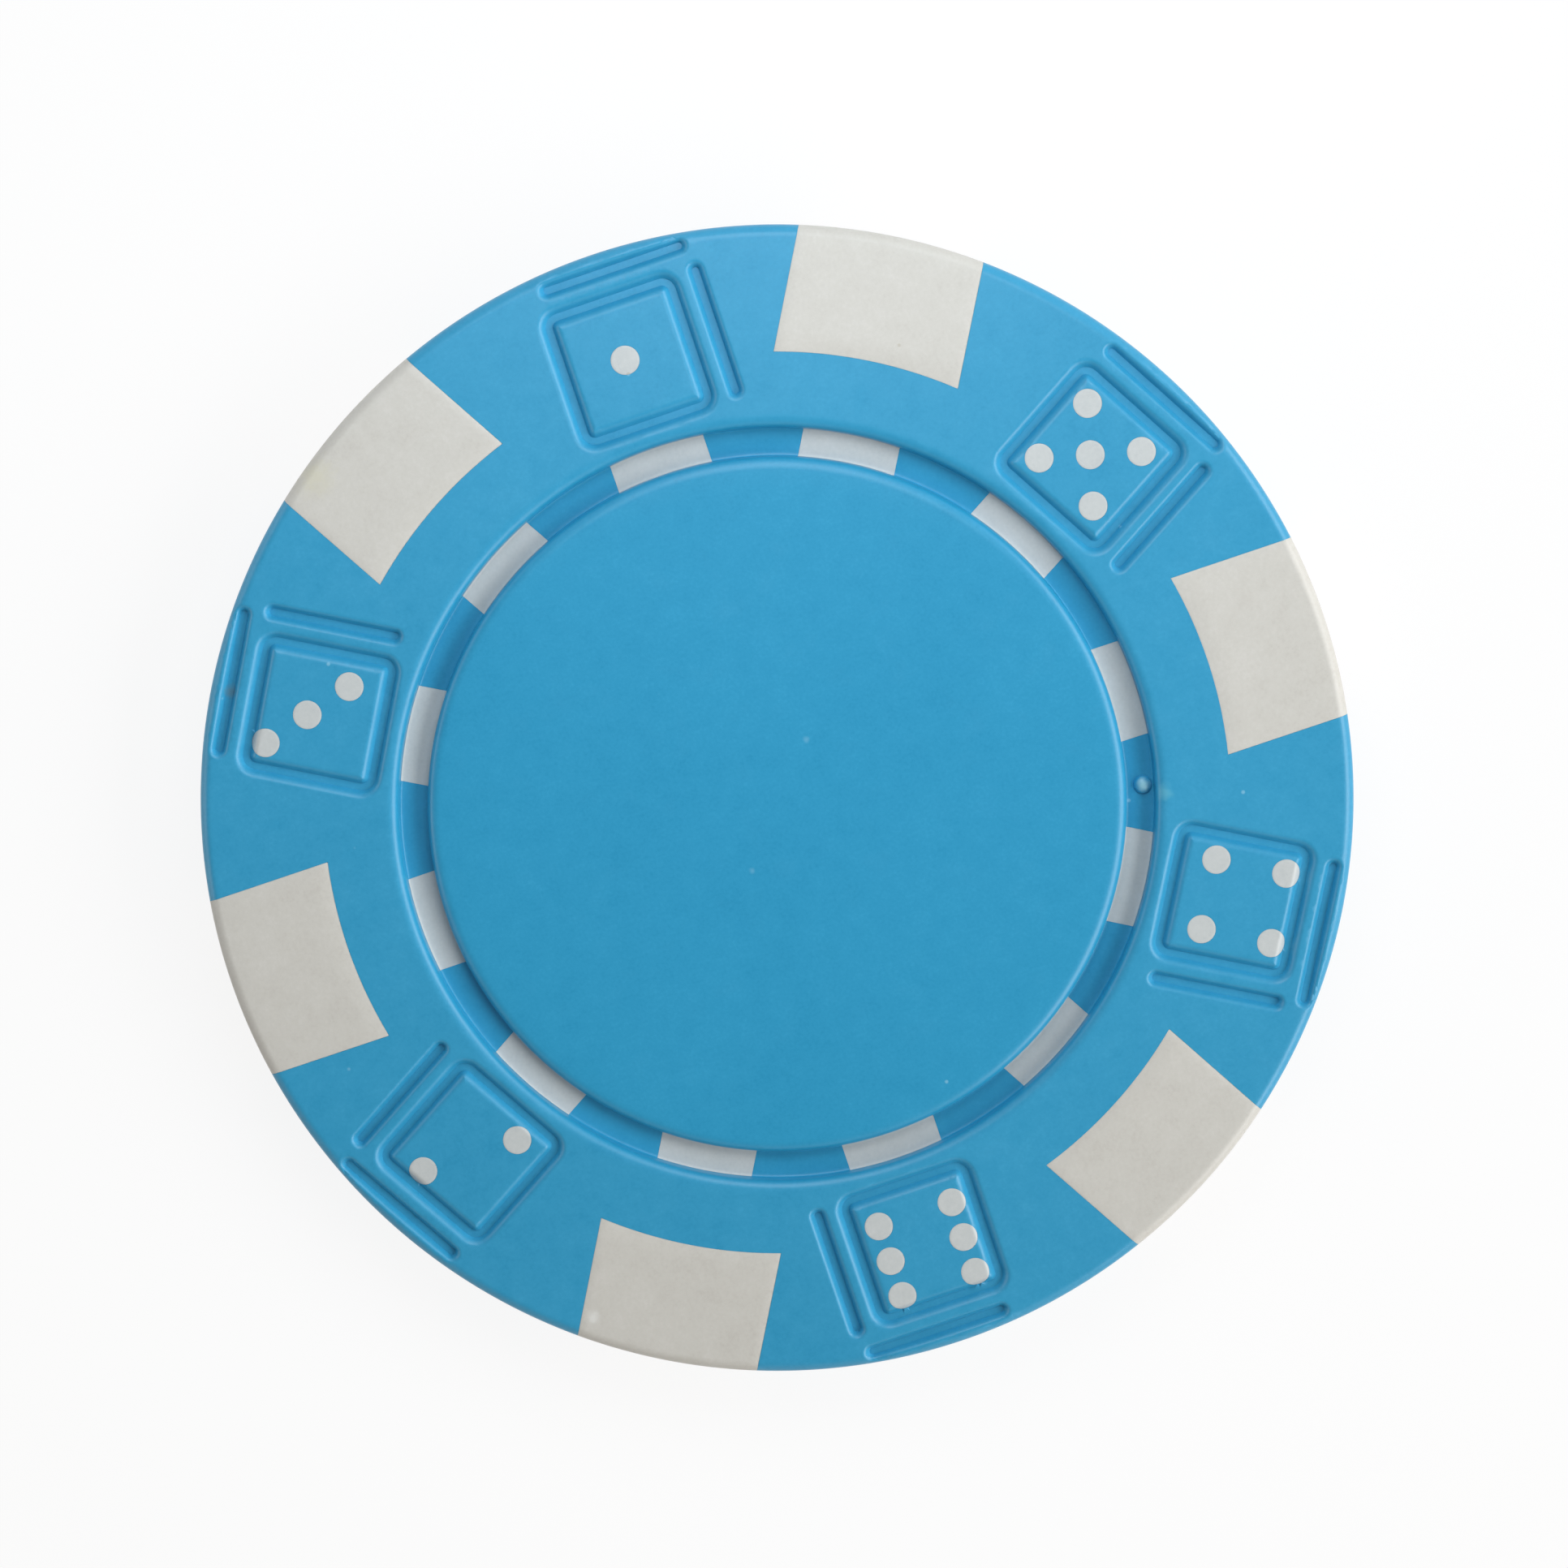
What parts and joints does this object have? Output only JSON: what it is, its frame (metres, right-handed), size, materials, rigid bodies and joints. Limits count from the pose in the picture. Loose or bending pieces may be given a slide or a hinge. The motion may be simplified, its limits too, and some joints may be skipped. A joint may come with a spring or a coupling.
{
  "type": "chip ball marker",
  "caption": "Round casino-style chip used as a golf ball marker: moulded blue body over a steel slug, white inserts at the rim and groove, drawn dice, bare centre panel.",
  "frame": {"origin": "centre of the back face, on the surface that the chip lies on", "axes": "+Z out of the front face, along the chip's axis; +X through the middle of the first edge insert"},
  "size_m": [0.04, 0.04, 0.0033],
  "materials": {
    "blue_plastic": "satin moulded plastic with a very fine grain",
    "white_plastic": "satin moulded plastic, slightly warm white",
    "slug_steel": "plain punched steel, hidden inside"
  },
  "bodies": {
    "root": {"blue_body": "blue_plastic", "steel_slug": "slug_steel", "edge_insert_1": "white_plastic", "edge_insert_2": "white_plastic", "edge_insert_3": "white_plastic", "edge_insert_4": "white_plastic", "edge_insert_5": "white_plastic", "edge_insert_6": "white_plastic", "groove_insert_1": "white_plastic", "groove_insert_2": "white_plastic", "groove_insert_3": "white_plastic", "groove_insert_4": "white_plastic", "groove_insert_5": "white_plastic", "groove_insert_6": "white_plastic", "groove_insert_7": "white_plastic", "groove_insert_8": "white_plastic", "groove_insert_9": "white_plastic", "groove_insert_10": "white_plastic", "groove_insert_11": "white_plastic", "groove_insert_12": "white_plastic", "pips_five": "white_plastic", "pips_one": "white_plastic", "pips_three": "white_plastic", "pips_two": "white_plastic", "pips_six": "white_plastic", "pips_four": "white_plastic"}
  },
  "joints": []
}
